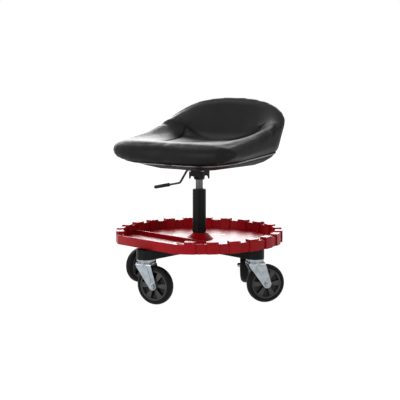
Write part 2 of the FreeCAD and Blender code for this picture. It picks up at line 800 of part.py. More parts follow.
# Seat
def side_profile(index, side):
    """One closed side profile of the seat, from nose to backrest, at a place across its width."""
    x = side * profile_place_shares[index] * seat_width / 2
    base = seat_underside
    reach = seat_front_reach * nose_reach_shares[index]
    nose_low = base + seat_height * nose_low_shares[index]
    nose_top = base + seat_height * nose_top_shares[index]
    nose = nose_top - nose_low
    back = seat_back_reach * back_reach_shares[index]
    thick = back_thickness * back_thickness_shares[index]
    top = base + seat_height * back_top_shares[index]
    shoulder = top - thick * shoulder_drop_share
    rear = base + seat_height * underside_rear_shares[index]
    crease_low = Vec(x, back * crease_start_share, base + seat_height * pan_back_shares[index])
    crease_high = Vec(x, back * crease_end_share, base + seat_height * crease_shares[index])
    crease_run = crease_high - crease_low
    heel_foot = Vec(x, back * heel_foot_share, rear)
    heel_top = Vec(x, back * heel_top_share, rear + (shoulder - rear) * heel_rise_share)
    heel_run = heel_top - heel_foot
    front_low = Vec(x, -reach + nose * nose_low_back_share, nose_low)
    front_mid = Vec(x, -reach, nose_low + nose * nose_middle_share)
    front_top = Vec(x, -reach + nose * nose_top_back_share, nose_top)
    pan = Vec(x, 0, base + seat_height * pan_shares[index])
    crease_mid = crease_low + Vec(0, crease_run.y * crease_middle_share, crease_run.z * crease_sink_share)
    heel_mid = heel_foot + Vec(0, heel_run.y * crease_middle_share, heel_run.z * crease_sink_share)
    inner_top = Vec(x, back - thick, shoulder)
    crown = Vec(x, back - thick / 2, top)
    outer_top = Vec(x, back, shoulder)
    underside = Vec(x, -reach * underside_reach_share, base + seat_height * underside_front_shares[index])
    return Part.Wire([
        arc(front_low, front_mid, front_top),
        line(front_top, pan),
        line(pan, crease_low),
        arc(crease_low, crease_mid, crease_high),
        line(crease_high, inner_top),
        arc(inner_top, crown, outer_top),
        line(outer_top, heel_top),
        arc(heel_top, heel_mid, heel_foot),
        line(heel_foot, underside),
        line(underside, front_low),
    ])


def bucket():
    """The whole seat form, cushion and shell together."""
    last = len(profile_place_shares) - 1
    sections = [side_profile(index, -1) for index in range(last, 0, -1)]
    sections += [side_profile(index, 1) for index in range(last + 1)]
    return Part.makeLoft(sections, True, True)


def grown(shape, margin):
    """A copy of the seat form that stands out by a margin on each side, or is drawn in by a negative one."""
    depth = seat_front_reach + seat_back_reach
    centre = Vec(0, (seat_back_reach - seat_front_reach) / 2, seat_middle)
    matrix = FreeCAD.Matrix()
    matrix.move(centre * -1)
    matrix.scale(1 + 2 * margin / seat_width, 1 + 2 * margin / depth, 1 + 2 * margin / seat_height)
    matrix.move(centre)
    return shape.transformGeometry(matrix)


def below_seam(shift):
    """A large block whose tilted top is the seam plane, moved up by a shift."""
    wide = seat_width
    level = seat_underside + seam_rise + shift
    front = level - wide * seam_slope_share
    rear = level + wide * seam_slope_share
    corners = [Vec(-wide, -wide, 0), Vec(-wide, wide, 0), Vec(-wide, wide, rear), Vec(-wide, -wide, front)]
    return Part.Face(Part.makePolygon(corners + corners[:1])).extrude(Vec(2 * wide, 0, 0))


def seat_bolt_places(shape):
    """Four copies of a shape at the seat bolts."""
    return [moved(shape, x, y, 0) for x in (-seat_bolt_x, seat_bolt_x) for y in (-seat_bolt_y, seat_bolt_y)]


def seat_pad(form):
    """The upholstered cushion and backrest, above the seam."""
    return form.cut(below_seam(welt_width / 2))


def seat_shell(form):
    """The moulded underside shell with a rib grid that carries the cushion."""
    lower = below_seam(-welt_width / 2)
    inner = grown(form, -seat_shell_wall)
    shell = form.common(lower).cut(inner)
    half_x = flange_size_x / 2
    half_y = flange_size_y / 2
    boss = block(-half_x, half_x, -half_y, half_y, seat_underside, seat_underside + seat_board_flat)
    ribs = []
    for step in range(-shell_rib_count, shell_rib_count + 1):
        low = step * shell_rib_pitch - shell_rib_sheet / 2
        high = low + shell_rib_sheet
        ribs.append(block(low, high, -seat_width, seat_width, seat_underside, seat_middle))
        ribs.append(block(-seat_width, seat_width, low, high, seat_underside, seat_middle))
    grid = ribs[0].fuse(ribs[1:]).common(inner).common(below_seam(welt_width / 2))
    shell = shell.fuse([grid, boss])
    under_flange = block(-half_x, half_x, -half_y, half_y, 0, seat_underside)
    pocket = disc_stack(tee_nut_radius, seat_underside + seat_shell_wall, seat_middle)
    bolt_hole = disc_stack(seat_bolt_radius, 0, seat_middle)
    return shell.cut([under_flange] + seat_bolt_places(pocket) + seat_bolt_places(bolt_hole)).removeSplitter()


def seat_welt(form):
    """The piping that closes the seam between the cushion and the shell."""
    band = grown(form, welt_proud).common(below_seam(welt_width / 2)).cut(below_seam(-welt_width / 2))
    return band.cut(grown(form, -welt_seat))


def seat_bolt():
    """A hexagon bolt up through the flange and the shell."""
    top = seat_underside + seat_shell_wall + tee_nut_height + seat_bolt_thread_end
    head = hex_bar(seat_bolt_head_flats, flange_underside - seat_bolt_head_height, flange_underside)
    return head.fuse(disc_stack(seat_bolt_radius, flange_underside - seat_bolt_head_height, top)).removeSplitter()


def seat_tee_nut():
    """A round nut seated in a pocket of the shell."""
    low = seat_underside + seat_shell_wall
    return tube(seat_bolt_radius, tee_nut_radius, low, low + tee_nut_height)


def build():
    """Makes every piece and writes it under its own name."""
    os.makedirs("parts", exist_ok=True)
    for station, angle in station_angles.items():
        save("leg_" + station, turned(base_leg(), angle))
        save("top_race_" + station, at_station(top_race(), station))
        save("fork_" + station, at_station(fork(), station))
        save("ball_ring_" + station, at_station(ball_ring(), station))
        save("axle_bolt_" + station, at_station(on_axle(axle_bolt()), station))
        save("axle_nut_" + station, at_station(on_axle(axle_nut()), station))
        save("wheel_bush_" + station, at_station(on_axle(wheel_bush()), station))
        save("wheel_core_" + station, at_station(on_axle(wheel_core()), station))
        save("tyre_" + station, at_station(on_axle(tyre()), station))
    for name, piece in (("kingpins", kingpin()), ("kingpin_nuts", kingpin_nut())):
        save(name, Part.makeCompound([at_station(piece, station, trail=False) for station in station_angles]))
    save("base_hub", base_hub())
    save("column_tube", column_tube())
    save("guide_bush", guide_bush())
    save("thrust_bearing", thrust_bearing())
    save("piston_rod", piston_rod())
    save("rod_clip", rod_clip())
    save("rod_bumper", rod_bumper())
    save("gas_cylinder", gas_cylinder())
    save("release_pin", release_pin())
    save("tray", tray())
    save("tray_rim", tray_rim())
    save("tray_screws", Part.makeCompound(ring_of(tray_screw(), len(station_angles))))
    form = bucket()
    seat_pieces = {
        "mechanism_plate": mechanism_plate(),
        "taper_socket": taper_socket(),
        "lever_pivot": lever_pivot(),
        "lever_rod": lever_rod(),
        "lever_grip": lever_grip(),
        "seat_pad": seat_pad(form),
        "seat_shell": seat_shell(form),
        "seat_welt": seat_welt(form),
        "seat_bolts": Part.makeCompound(seat_bolt_places(seat_bolt())),
        "seat_tee_nuts": Part.makeCompound(seat_bolt_places(seat_tee_nut())),
    }
    for name, piece in seat_pieces.items():
        save(name, turned(piece, seat_turn))


build()
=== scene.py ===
"""The dressed look of a rolling workshop seat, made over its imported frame.

Every length is in metres, +Z is up and the sitter faces -Y. The seat stands turned on its lift
by a few degrees.
"""

import json
import logging
import math
from dataclasses import dataclass, field
from enum import Enum

import bmesh
import bpy
import numpy as np
from mathutils import Matrix, Vector
from mathutils.bvhtree import BVHTree

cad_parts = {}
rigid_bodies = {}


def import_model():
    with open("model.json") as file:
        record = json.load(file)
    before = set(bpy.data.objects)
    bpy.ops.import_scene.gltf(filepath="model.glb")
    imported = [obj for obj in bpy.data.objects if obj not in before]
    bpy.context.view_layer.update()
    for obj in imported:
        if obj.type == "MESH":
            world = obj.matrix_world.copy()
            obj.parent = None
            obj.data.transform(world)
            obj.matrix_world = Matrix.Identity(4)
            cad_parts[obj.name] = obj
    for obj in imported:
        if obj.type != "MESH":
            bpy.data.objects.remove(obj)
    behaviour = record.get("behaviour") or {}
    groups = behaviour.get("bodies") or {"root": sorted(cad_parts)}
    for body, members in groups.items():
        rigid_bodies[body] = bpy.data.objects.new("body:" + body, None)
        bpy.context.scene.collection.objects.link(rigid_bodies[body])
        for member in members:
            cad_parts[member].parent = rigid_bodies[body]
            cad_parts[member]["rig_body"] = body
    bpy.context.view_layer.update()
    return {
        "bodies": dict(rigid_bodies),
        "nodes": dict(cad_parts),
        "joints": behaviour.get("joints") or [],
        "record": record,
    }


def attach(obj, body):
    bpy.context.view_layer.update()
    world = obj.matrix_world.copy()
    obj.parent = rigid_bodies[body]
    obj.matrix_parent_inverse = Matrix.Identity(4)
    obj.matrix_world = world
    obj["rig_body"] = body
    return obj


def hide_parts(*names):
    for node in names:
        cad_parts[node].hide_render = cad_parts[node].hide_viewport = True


LOG = logging.getLogger("workshop_seat")

Colour = tuple[float, float, float]

STATIONS = {"front": -90.0, "left": 0.0, "rear": 90.0, "right": 180.0}
TRAILS = {"front": 16.0, "left": 59.0, "rear": -56.0, "right": -94.0}
SEAT_TURN = math.radians(7.0)
# Painted shade: the wheel centre's pocket floors are marked in a mesh attribute and coloured near black, in
# place of the shade in its deep windows.
POCKET_SHADE = "painted_pocket_shade"
POCKET_SHADE_SLOT = "wheel_core"
POCKET_SHADE_COLOUR = (0.0015, 0.0015, 0.0015)
CREASE = 30.0
FLAT = 0.4
MERGE = 1e-6
SPIN_MERGE = 1e-7
BEVEL_STEPS = 2


class Grain(Enum):
    """The small relief of a surface."""

    POLISHED = "polished"
    PEEL = "peel"
    LEATHER = "leather"
    BRUSHED = "brushed"
    PLATED = "plated"
    RUBBER = "rubber"


class Value:
    """A shader number that Python expressions can use."""

    def __init__(self, graph: "Graph", socket: bpy.types.NodeSocket) -> None:
        """Keeps the graph and the socket that carries the number."""
        self.graph = graph
        self.socket = socket

    def _with(self, operation: str, other: object) -> "Value":
        """One Math node.

        Args:
            operation: the node's operation.
            other: its second number or Value.

        Returns:
            The node's result.
        """
        node = self.graph.node("ShaderNodeMath", {"operation": operation}, {0: self, 1: other})
        return Value(self.graph, node.outputs[0])

    def __add__(self, other: object) -> "Value":
        """The sum."""
        return self._with("ADD", other)

    def __mul__(self, other: object) -> "Value":
        """The product."""
        return self._with("MULTIPLY", other)

    def spread(self, low: float, high: float, start: float = 0.0, end: float = 1.0) -> "Value":
        """The number mapped smoothly from one range to another.

        Args:
            low: the number that gives start.
            high: the number that gives end.
            start: the result at low and below.
            end: the result at high and above.

        Returns:
            The mapped number.
        """
        settings = {"interpolation_type": "SMOOTHSTEP"}
        node = self.graph.node("ShaderNodeMapRange", settings, {0: self, 1: low, 2: high, 3: start, 4: end})
        return Value(self.graph, node.outputs[0])


class Graph:
    """The node tree of one material or world."""

    def __init__(self, tree: bpy.types.NodeTree) -> None:
        """Starts with an empty tree."""
        self.tree = tree
        self.tree.nodes.clear()

    def node(self, kind: str, settings: dict[str, object], inputs: dict[object, object]) -> bpy.types.Node:
        """The one way in which a node is made.

        Args:
            kind: the node's type.
            settings: its attributes, which are set first.
            inputs: numbers, colours, sockets or Values for its sockets, by name or by place.

        Returns:
            The new node.
        """
        node = self.tree.nodes.new(kind)
        for name, setting in settings.items():
            setattr(node, name, setting)
        for key, given in inputs.items():
            socket = given.socket if isinstance(given, Value) else given
            if isinstance(socket, bpy.types.NodeSocket):
                self.tree.links.new(socket, node.inputs[key])
            else:
                node.inputs[key].default_value = socket
        return node

    def place(self, stretch: Colour = (1.0, 1.0, 1.0)) -> bpy.types.NodeSocket:
        """Object coordinates, stretched along each axis."""
        coordinates = self.node("ShaderNodeTexCoord", {}, {}).outputs["Object"]
        return self.node("ShaderNodeMapping", {}, {"Vector": coordinates, "Scale": stretch}).outputs[0]

    def noise(self, scale: float, detail: float = 3.0, stretch: Colour = (1.0, 1.0, 1.0)) -> Value:
        """Smooth noise.

        Args:
            scale: how many lumps per metre.
            detail: octaves of finer lumps.
            stretch: how the pattern is squeezed along each axis.

        Returns:
            The noise, about 0.5.
        """
        inputs = {"Vector": self.place(stretch), "Scale": scale, "Detail": detail}
        return Value(self, self.node("ShaderNodeTexNoise", {}, inputs).outputs[0])

    def cells(self, scale: float) -> Value:
        """The distance to the nearest cell of an even scatter with so many cells per metre."""
        inputs = {"Vector": self.place(), "Scale": scale}
        return Value(self, self.node("ShaderNodeTexVoronoi", {}, inputs).outputs[0])

    def attribute(self, name: str) -> Value:
        """A number that the mesh carries under a name."""
        return Value(self, self.node("ShaderNodeAttribute", {"attribute_name": name}, {}).outputs["Fac"])

    def blend(self, share: object, first: object, second: object) -> bpy.types.NodeSocket:
        """A colour between two others.

        Args:
            share: how much of the second colour, as a number or a Value.
            first: the colour at 0.
            second: the colour at 1.

        Returns:
            The mixed colour's socket.
        """
        colours = [(*c, 1.0) if isinstance(c, tuple) else c for c in (first, second)]
        inputs = {0: share, 6: colours[0], 7: colours[1]}
        return self.node("ShaderNodeMix", {"data_type": "RGBA"}, inputs).outputs[2]


@dataclass(frozen=True)
class Relief:
    """The lumps of one grain: how many per metre, their octaves, depth and stretch along each axis."""

    lumps: float
    detail: float
    depth: float
    stretch: Colour = (1.0, 1.0, 1.0)


RELIEFS = {
    Grain.POLISHED: Relief(30.0, 1.0, 0.00005),
    Grain.PEEL: Relief(420.0, 2.0, 0.00010),
    Grain.LEATHER: Relief(260.0, 4.0, 0.00018),
    Grain.BRUSHED: Relief(900.0, 3.0, 0.00004, (1.0, 1.0, 0.06)),
    Grain.PLATED: Relief(160.0, 4.0, 0.00006),
    Grain.RUBBER: Relief(700.0, 3.0, 0.00012),
}


@dataclass(frozen=True)
class Finish:
    """How one kind of surface looks."""

    slot: str
    colour: Colour
    drift: Colour
    roughness: float
    grain: Grain
    metallic: float = 0.0
    specular: float = 0.5
    drift_scale: float = 9.0
    drift_detail: float = 4.0
    drift_range: tuple[float, float] = (0.35, 0.68)
    rough_spread: float = 0.08
    rough_scale: float = 4.0
    rough_detail: float = 5.0
    dust: float = 0.0
    dust_colour: Colour = (0.30, 0.285, 0.27)
    dust_scale: float = 55.0
    dust_detail: float = 5.0
    dust_range: tuple[float, float] = (0.5, 0.78)
    pebble_scale: float = 620.0
    pebble_range: tuple[float, float] = (0.1, 0.75)
    pebble_share: float = 0.7
    crumple_share: float = 0.6
    look: str = ""

    def relief(self, graph: Graph) -> tuple[Value, float]:
        """The surface's small relief.

        Args:
            graph: the material's graph.

        Returns:
            The relief as a number from 0 to 1, and its depth in metres.
        """
        grain = RELIEFS[self.grain]
        lumps = graph.noise(grain.lumps, grain.detail, grain.stretch)
        if self.grain is Grain.LEATHER:
            pebbles = graph.cells(self.pebble_scale).spread(*self.pebble_range)
            lumps = pebbles * self.pebble_share + lumps * self.crumple_share
        return lumps, grain.depth

    def material(self) -> bpy.types.Material:
        """This finish as a material, made once.

        Returns:
            The material.
        """
        name = "finish_" + (self.look or self.slot)
        made = bpy.data.materials.get(name)
        if made:
            return made
        made = bpy.data.materials.new(name)
        made.use_nodes = True
        graph = Graph(made.node_tree)
        patches = graph.noise(self.drift_scale, self.drift_detail).spread(*self.drift_range)
        colour = graph.blend(patches, self.colour, self.drift)
        # Painted shade: faces marked as pocket floor are blended to near black.
        if self.slot == POCKET_SHADE_SLOT:
            colour = graph.blend(graph.attribute(POCKET_SHADE), colour, POCKET_SHADE_COLOUR)
        if self.dust:
            settled = graph.noise(self.dust_scale, self.dust_detail).spread(*self.dust_range, 0.0, self.dust)
            colour = graph.blend(settled, colour, self.dust_colour)
        wear = graph.noise(self.drift_scale * self.rough_scale, self.rough_detail)
        rough = wear * self.rough_spread + (self.roughness - self.rough_spread / 2)
        relief, depth = self.relief(graph)
        bump = graph.node("ShaderNodeBump", {}, {"Strength": 1.0, "Distance": depth, "Height": relief})
        surface = graph.node("ShaderNodeBsdfPrincipled", {}, {
            "Base Color": colour,
            "Roughness": rough,
            "Normal": bump.outputs[0],
            "Metallic": self.metallic,
            "Specular IOR Level": self.specular,
        })
        graph.node("ShaderNodeOutputMaterial", {}, {0: surface.outputs[0]})
        return made


TRAY_RED = Finish("tray_red", (0.29, 0.0026, 0.0065), (0.345, 0.0040, 0.010), 0.33, Grain.POLISHED,
                  specular=0.12, drift_scale=6.0)
VINYL = Finish("seat_vinyl", (0.0060, 0.0059, 0.0063), (0.0080, 0.0079, 0.0084), 0.43, Grain.LEATHER,
               specular=0.12, dust=0.007)
PIPING = Finish("welt_vinyl", (0.010, 0.010, 0.011), (0.014, 0.014, 0.015), 0.30, Grain.LEATHER,
                specular=0.45)
THREAD = Finish("welt_vinyl", (0.014, 0.014, 0.015), (0.020, 0.020, 0.021), 0.62, Grain.RUBBER,
                specular=0.3, look="thread")
SHELL = Finish("shell_plastic", (0.006, 0.006, 0.0065), (0.008, 0.008, 0.0085), 0.58, Grain.PEEL,
               specular=0.07, dust=0.008)
POWDER = Finish("black_steel", (0.0040, 0.0046, 0.0044), (0.0058, 0.0066, 0.0062), 0.36, Grain.PEEL,
                specular=0.11, dust=0.010)
LIFT = Finish("lift_steel", (0.070, 0.071, 0.075), (0.11, 0.112, 0.118), 0.28, Grain.BRUSHED, metallic=1.0)
LEVER = Finish("lever_steel", (0.050, 0.050, 0.053), (0.080, 0.080, 0.084), 0.32, Grain.BRUSHED,
               metallic=1.0)
GRIP = Finish("grip_plastic", (0.006, 0.006, 0.0065), (0.009, 0.009, 0.0095), 0.44, Grain.PEEL,
              specular=0.16)
ZINC = Finish("zinc_steel", (0.27, 0.30, 0.325), (0.36, 0.39, 0.42), 0.33, Grain.PLATED, metallic=1.0,
              drift_scale=60.0, rough_spread=0.16)
BOLT = Finish("bolt_steel", (0.30, 0.315, 0.33), (0.42, 0.43, 0.44), 0.28, Grain.PLATED,
              metallic=1.0, drift_scale=80.0)
BUSH = Finish("bush_plastic", (0.010, 0.010, 0.011), (0.016, 0.016, 0.017), 0.40, Grain.PEEL, specular=0.2)
BUMPER = Finish("bumper_rubber", (0.008, 0.008, 0.008), (0.013, 0.013, 0.013), 0.70, Grain.RUBBER,
                specular=0.15)
CENTRE = Finish("wheel_core", (0.040, 0.040, 0.042), (0.056, 0.056, 0.058), 0.42, Grain.PEEL,
                specular=0.25, dust=0.04)
TYRE = Finish("tyre", (0.0035, 0.0035, 0.0038), (0.0060, 0.0060, 0.0064), 0.55, Grain.RUBBER,
              specular=0.10, dust=0.02)


@dataclass
class Workshop:
    """What every sub-assembly shares: the frame's nodes and the way a piece is put in the scene."""

    nodes: dict[str, bpy.types.Object]

    def body_of(self, node: str) -> str:
        """The body that a frame node rides on."""
        return self.nodes[node]["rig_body"]

    def shade(self, mesh: bpy.types.Mesh, angle: float) -> None:
        """Smooth shading with creases where faces meet at more than an angle in degrees."""
        mesh.polygons.foreach_set("use_smooth", [True] * len(mesh.polygons))
        mesh.set_sharp_from_angle(angle=math.radians(angle))

    def add(self, name: str, mesh: bpy.types.Mesh, finish: Finish, body: str,
            stands_for: tuple[str, ...]) -> bpy.types.Object:
        """Puts a finished mesh in the scene as a piece.

        Args:
            name: the piece's name.
            mesh: its mesh, in place.
            finish: its surface.
            body: the body it rides on.
            stands_for: the frame nodes it replaces.

        Returns:
            The piece.
        """
        mesh.name = name
        mesh.materials.clear()
        mesh.materials.append(finish.material())
        piece = bpy.data.objects.new(name, mesh)
        bpy.context.scene.collection.objects.link(piece)
        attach(piece, body)
        if stands_for:
            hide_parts(*stands_for)
        LOG.info("%s: %d faces on %s", name, len(mesh.polygons), body)
        return piece

    def softened(self, piece: bpy.types.Object, width: float, angle: float = CREASE) -> bpy.types.Object:
        """Rounds the edges of a piece.

        Args:
            piece: the piece.
            width: the width of the rounding.
            angle: the least angle between faces, in degrees, that gets one.

        Returns:
            The same piece.
        """
        bevel = piece.modifiers.new("edges", "BEVEL")
        bevel.width = width
        bevel.segments = BEVEL_STEPS
        bevel.limit_method = "ANGLE"
        bevel.angle_limit = math.radians(angle)
        bevel.harden_normals = True
        bevel.loop_slide = False
        return piece

    def merged_copy(self, node: str) -> bmesh.types.BMesh:
        """A merged copy of a frame node's mesh, with its flat faces joined.

        Args:
            node: the node's name.

        Returns:
            The copy.
        """
        shape = bmesh.new()
        shape.from_mesh(self.nodes[node].data)
        bmesh.ops.remove_doubles(shape, verts=shape.verts, dist=MERGE)
        bmesh.ops.dissolve_limit(shape, angle_limit=math.radians(FLAT), verts=shape.verts, edges=shape.edges)
        return shape

    def mesh_from(self, shape: bmesh.types.BMesh) -> bpy.types.Mesh:
        """A new mesh from a bmesh, which is freed.

        Args:
            shape: the bmesh.

        Returns:
            The mesh, without the frame's own normals.
        """
        mesh = bpy.data.meshes.new("shape")
        shape.to_mesh(mesh)
        shape.free()
        for leftover in ("custom_normal", "sharp_face"):
            if leftover in mesh.attributes:
                mesh.attributes.remove(mesh.attributes[leftover])
        return mesh

    def dressed(self, node: str, finish: Finish, width: float, angle: float = CREASE) -> bpy.types.Object:
        """A frame node's own shape with softened edges and its finish.

        Args:
            node: the node's name.
            finish: its surface.
            width: the width of the edge rounding.
            angle: the least angle between faces, in degrees, that gets one.

        Returns:
            The piece that stands for the node.
        """
        mesh = self.mesh_from(self.merged_copy(node))
        self.shade(mesh, angle)
        piece = self.add("dressed_" + node, mesh, finish, self.body_of(node), (node,))
        return self.softened(piece, width, angle)

    def painted(self, node: str, finish: Finish) -> None:
        """Gives a frame node that stays as it is its finish.

        Args:
            node: the node's name.
            finish: its surface.
        """
        piece = self.nodes[node]
        piece.data.materials.clear()
        piece.data.materials.append(finish.material())


@dataclass
class Base:
    """The four legs, the hub, the column and what the base holds inside."""

    workshop: Workshop
    leg_edge: float = 0.0016
    column_edge: float = 0.0012
    small_edge: float = 0.0005

    def build(self) -> None:
        """Dresses every piece of the base."""
        for station in STATIONS:
            self.workshop.dressed("leg_" + station, POWDER, self.leg_edge)
            self.workshop.dressed("top_race_" + station, ZINC, self.small_edge)
        self.workshop.dressed("base_hub", POWDER, self.small_edge)
        self.workshop.dressed("column_tube", POWDER, self.column_edge)
        for node in ("thrust_bearing", "kingpins", "kingpin_nuts", "rod_clip"):
            self.workshop.painted(node, BOLT)
        for node, finish in (("guide_bush", BUSH), ("piston_rod", LIFT), ("rod_bumper", BUMPER)):
            self.workshop.painted(node, finish)


@dataclass
class Tray:
    """The castellated tool tray and its screws."""

    workshop: Workshop
    edge: float = 0.0011
    screw_edge: float = 0.0006

    def build(self) -> None:
        """Dresses the tray and its screws."""
        self.workshop.dressed("tray", TRAY_RED, self.edge)
        self.workshop.dressed("tray_rim", TRAY_RED, self.edge)
        self.workshop.dressed("tray_screws", BOLT, self.screw_edge)


@dataclass
class Caster:
    """One swivel caster: fork, bearing, axle, wheel centre and tyre."""

    workshop: Workshop
    station: str
    swivel_radius: float = 0.252
    trail: float = 0.036
    wheel_radius: float = 0.0635
    tyre_half: float = 0.016
    bead_half: float = 0.013
    bead_radius: float = 0.0495
    tread: tuple[tuple[float, float], ...] = (
        (0.0, 0.0), (0.30, 0.00025), (0.52, 0.0012), (0.72, 0.0028), (0.88, 0.0052), (0.97, 0.0080),
        (1.0, 0.0108))
    wall: tuple[tuple[float, float], ...] = ((0.0006, 0.0122), (0.0009, 0.0128))
    bead_lip: tuple[float, float] = (0.0006, 0.0004)
    bead_tuck: tuple[float, float] = (0.003, 0.0002)
    tyre_crease: float = 50.0
    centre_crease: float = 40.0
    centre_edge_angle: float = 50.0
    hub_chamfer: float = 0.0008
    pocket_round: float = 0.0006
    pocket_slack: float = 0.0003
    rim_land: float = 0.0018
    spoke_sink: float = 0.0012
    steps: int = 120
    hub_half: float = 0.018
    hub_radius: float = 0.0145
    bore_radius: float = 0.008
    rim_inner: float = 0.044
    rim_face: float = 0.0112
    pocket_half: float = 0.0015
    spokes: int = 6
    spoke_inner: float = 0.0042
    spoke_outer: float = 0.0100
    spoke_face_inner: float = 0.0125
    spoke_face_outer: float = 0.0098
    fork_edge: float = 0.0009
    small_edge: float = 0.0006

    def wheel_frame(self) -> Matrix:
        """The matrix that takes a wheel about the Y axis to its place.

        Returns:
            The matrix.
        """
        around = math.radians(STATIONS[self.station])
        turn = math.radians(TRAILS[self.station])
        x = self.swivel_radius * math.cos(around) + self.trail * math.cos(turn)
        y = self.swivel_radius * math.sin(around) + self.trail * math.sin(turn)
        return Matrix.Translation((x, y, self.wheel_radius)) @ Matrix.Rotation(turn, 4, "Z")

    def tyre_section(self) -> list[tuple[float, float]]:
        """Half of the tyre's section, as distance from the mid plane and from the axle.

        Returns:
            The points from the crown to the bead.
        """
        crown, half = self.wheel_radius, self.tyre_half
        over = [(half * share, crown - drop) for share, drop in self.tread]
        side = [(half - inward, crown - drop) for inward, drop in self.wall]
        return over + side + [
            (self.bead_half + self.bead_lip[0], self.bead_radius + self.bead_lip[1]),
            (self.bead_half, self.bead_radius),
            (self.bead_half - self.bead_tuck[0], self.bead_radius - self.bead_tuck[1]),
        ]

    def spun(self, section: list[tuple[float, float]]) -> bmesh.types.BMesh:
        """A closed section, as distances from the mid plane and the axle, spun once round the axle.

        Args:
            section: the section's corners, in order.

        Returns:
            The ring.
        """
        shape = bmesh.new()
        corners = [shape.verts.new((0.0, w, r)) for w, r in section]
        edges = [shape.edges.new(pair) for pair in zip(corners, corners[1:] + corners[:1])]
        bmesh.ops.spin(shape, geom=corners + edges, cent=(0, 0, 0), axis=(0, 1, 0), dvec=(0, 0, 0),
                       angle=math.tau, steps=self.steps, use_merge=True, use_duplicate=False)
        bmesh.ops.remove_doubles(shape, verts=shape.verts, dist=SPIN_MERGE)
        return shape

    def tyre(self) -> bpy.types.Object:
        """The solid rubber tyre, spun from its section.

        Returns:
            The piece.
        """
        half = self.tyre_section()
        shape = self.spun([(-w, r) for w, r in reversed(half[1:])] + half)
        bmesh.ops.recalc_face_normals(shape, faces=shape.faces)
        bmesh.ops.transform(shape, matrix=self.wheel_frame(), verts=shape.verts)
        mesh = self.workshop.mesh_from(shape)
        self.workshop.shade(mesh, self.tyre_crease)
        node = "tyre_" + self.station
        return self.workshop.add("rubber_" + node, mesh, TYRE, self.workshop.body_of(node), (node,))

    def centre_section(self) -> list[tuple[float, float]]:
        """The outline of the wheel centre's hub, floor and rim, from the mid plane and from the axle.

        Returns:
            The corners, in order.
        """
        half = [
            (self.hub_half, self.bore_radius),
            (self.hub_half, self.hub_radius - self.hub_chamfer),
            (self.hub_half - self.hub_chamfer, self.hub_radius),
            (self.pocket_half, self.hub_radius + self.pocket_round),
            (self.pocket_half, self.rim_inner - self.pocket_round),
            (self.rim_face, self.rim_inner),
            (self.bead_half, self.rim_inner + self.rim_land),
            (self.bead_half, self.bead_radius),
        ]
        return half + [(-w, r) for w, r in reversed(half)]

    def spoke(self, shape: bmesh.types.BMesh, turn: float) -> None:
        """Adds one spoke, narrow at the hub and wide at the rim.

        Args:
            shape: the wheel centre.
            turn: the spoke's angle about the axle.
        """
        corners = bmesh.ops.create_cube(shape, size=2.0)["verts"]
        for vert in corners:
            outer = vert.co.x > 0.0
            radius = self.rim_inner + self.spoke_sink if outer else self.hub_radius - self.spoke_sink
            half = self.spoke_outer if outer else self.spoke_inner
            face = self.spoke_face_outer if outer else self.spoke_face_inner
            vert.co = Vector((radius, math.copysign(face, vert.co.y), math.copysign(half, vert.co.z)))
        bmesh.ops.rotate(shape, verts=corners, cent=(0, 0, 0), matrix=Matrix.Rotation(turn, 3, "Y"))

    def wheel_centre(self) -> bpy.types.Object:
        """The moulded wheel centre with six spokes that widen to the rim, over a deep floor painted near
        black as shade.

        Returns:
            The piece.
        """
        shape = self.spun(self.centre_section())
        for number in range(self.spokes):
            self.spoke(shape, math.tau * number / self.spokes)
        bmesh.ops.recalc_face_normals(shape, faces=shape.faces)
        mesh = self.workshop.mesh_from(shape)
        # Marks the pocket floor faces that take the painted shade.
        pocket_shade = mesh.attributes.new(POCKET_SHADE, "FLOAT", "CORNER")
        for face in mesh.polygons:
            radius = math.hypot(face.center.x, face.center.z)
            sunk = abs(face.center.y) < self.pocket_half + self.pocket_slack
            low = sunk and self.hub_radius < radius < self.rim_inner
            for corner in face.loop_indices:
                pocket_shade.data[corner].value = 1.0 if low else 0.0
        mesh.transform(self.wheel_frame())
        self.workshop.shade(mesh, self.centre_crease)
        node = "wheel_core_" + self.station
        piece = self.workshop.add("moulded_" + node, mesh, CENTRE, self.workshop.body_of(node), (node,))
        return self.workshop.softened(piece, self.small_edge, self.centre_edge_angle)

    def build(self) -> None:
        """Dresses every piece of the caster."""
        self.workshop.dressed("fork_" + self.station, ZINC, self.fork_edge)
        self.workshop.dressed("axle_bolt_" + self.station, BOLT, self.small_edge)
        self.workshop.dressed("axle_nut_" + self.station, BOLT, self.small_edge)
        self.workshop.dressed("ball_ring_" + self.station, BOLT, self.small_edge)
        self.wheel_centre()
        self.workshop.painted("wheel_bush_" + self.station, BUSH)
        self.tyre()


@dataclass
class Lift:
    """The gas cylinder, the mechanism under the seat and its lever."""

    workshop: Workshop
    plate_edge: float = 0.0009
    small_edge: float = 0.0005
    grip_edge: float = 0.0012
    pin_play: float = 0.0004

    def pin(self) -> None:
        """The release pin, a hair shorter at its head so that the tilted lever clears it."""
        shape = self.workshop.merged_copy("release_pin")
        head = max(vertex.co.z for vertex in shape.verts)
        for vertex in shape.verts:
            if vertex.co.z > head - self.pin_play:
                vertex.co.z -= self.pin_play
        made = self.workshop.mesh_from(shape)
        self.workshop.shade(made, CREASE)
        self.workshop.add("valve_pin", made, BOLT, "valve", ("release_pin",))

    def build(self) -> None:
        """Dresses the lift's moving half and the lever."""
        self.workshop.dressed("gas_cylinder", LIFT, self.small_edge)
        self.workshop.dressed("mechanism_plate", POWDER, self.plate_edge)
        self.workshop.dressed("taper_socket", POWDER, self.plate_edge)
        self.workshop.dressed("lever_pivot", BOLT, self.small_edge)
        self.workshop.dressed("lever_rod", LEVER, self.small_edge)
        self.workshop.dressed("lever_grip", GRIP, self.grip_edge)
        self.pin()


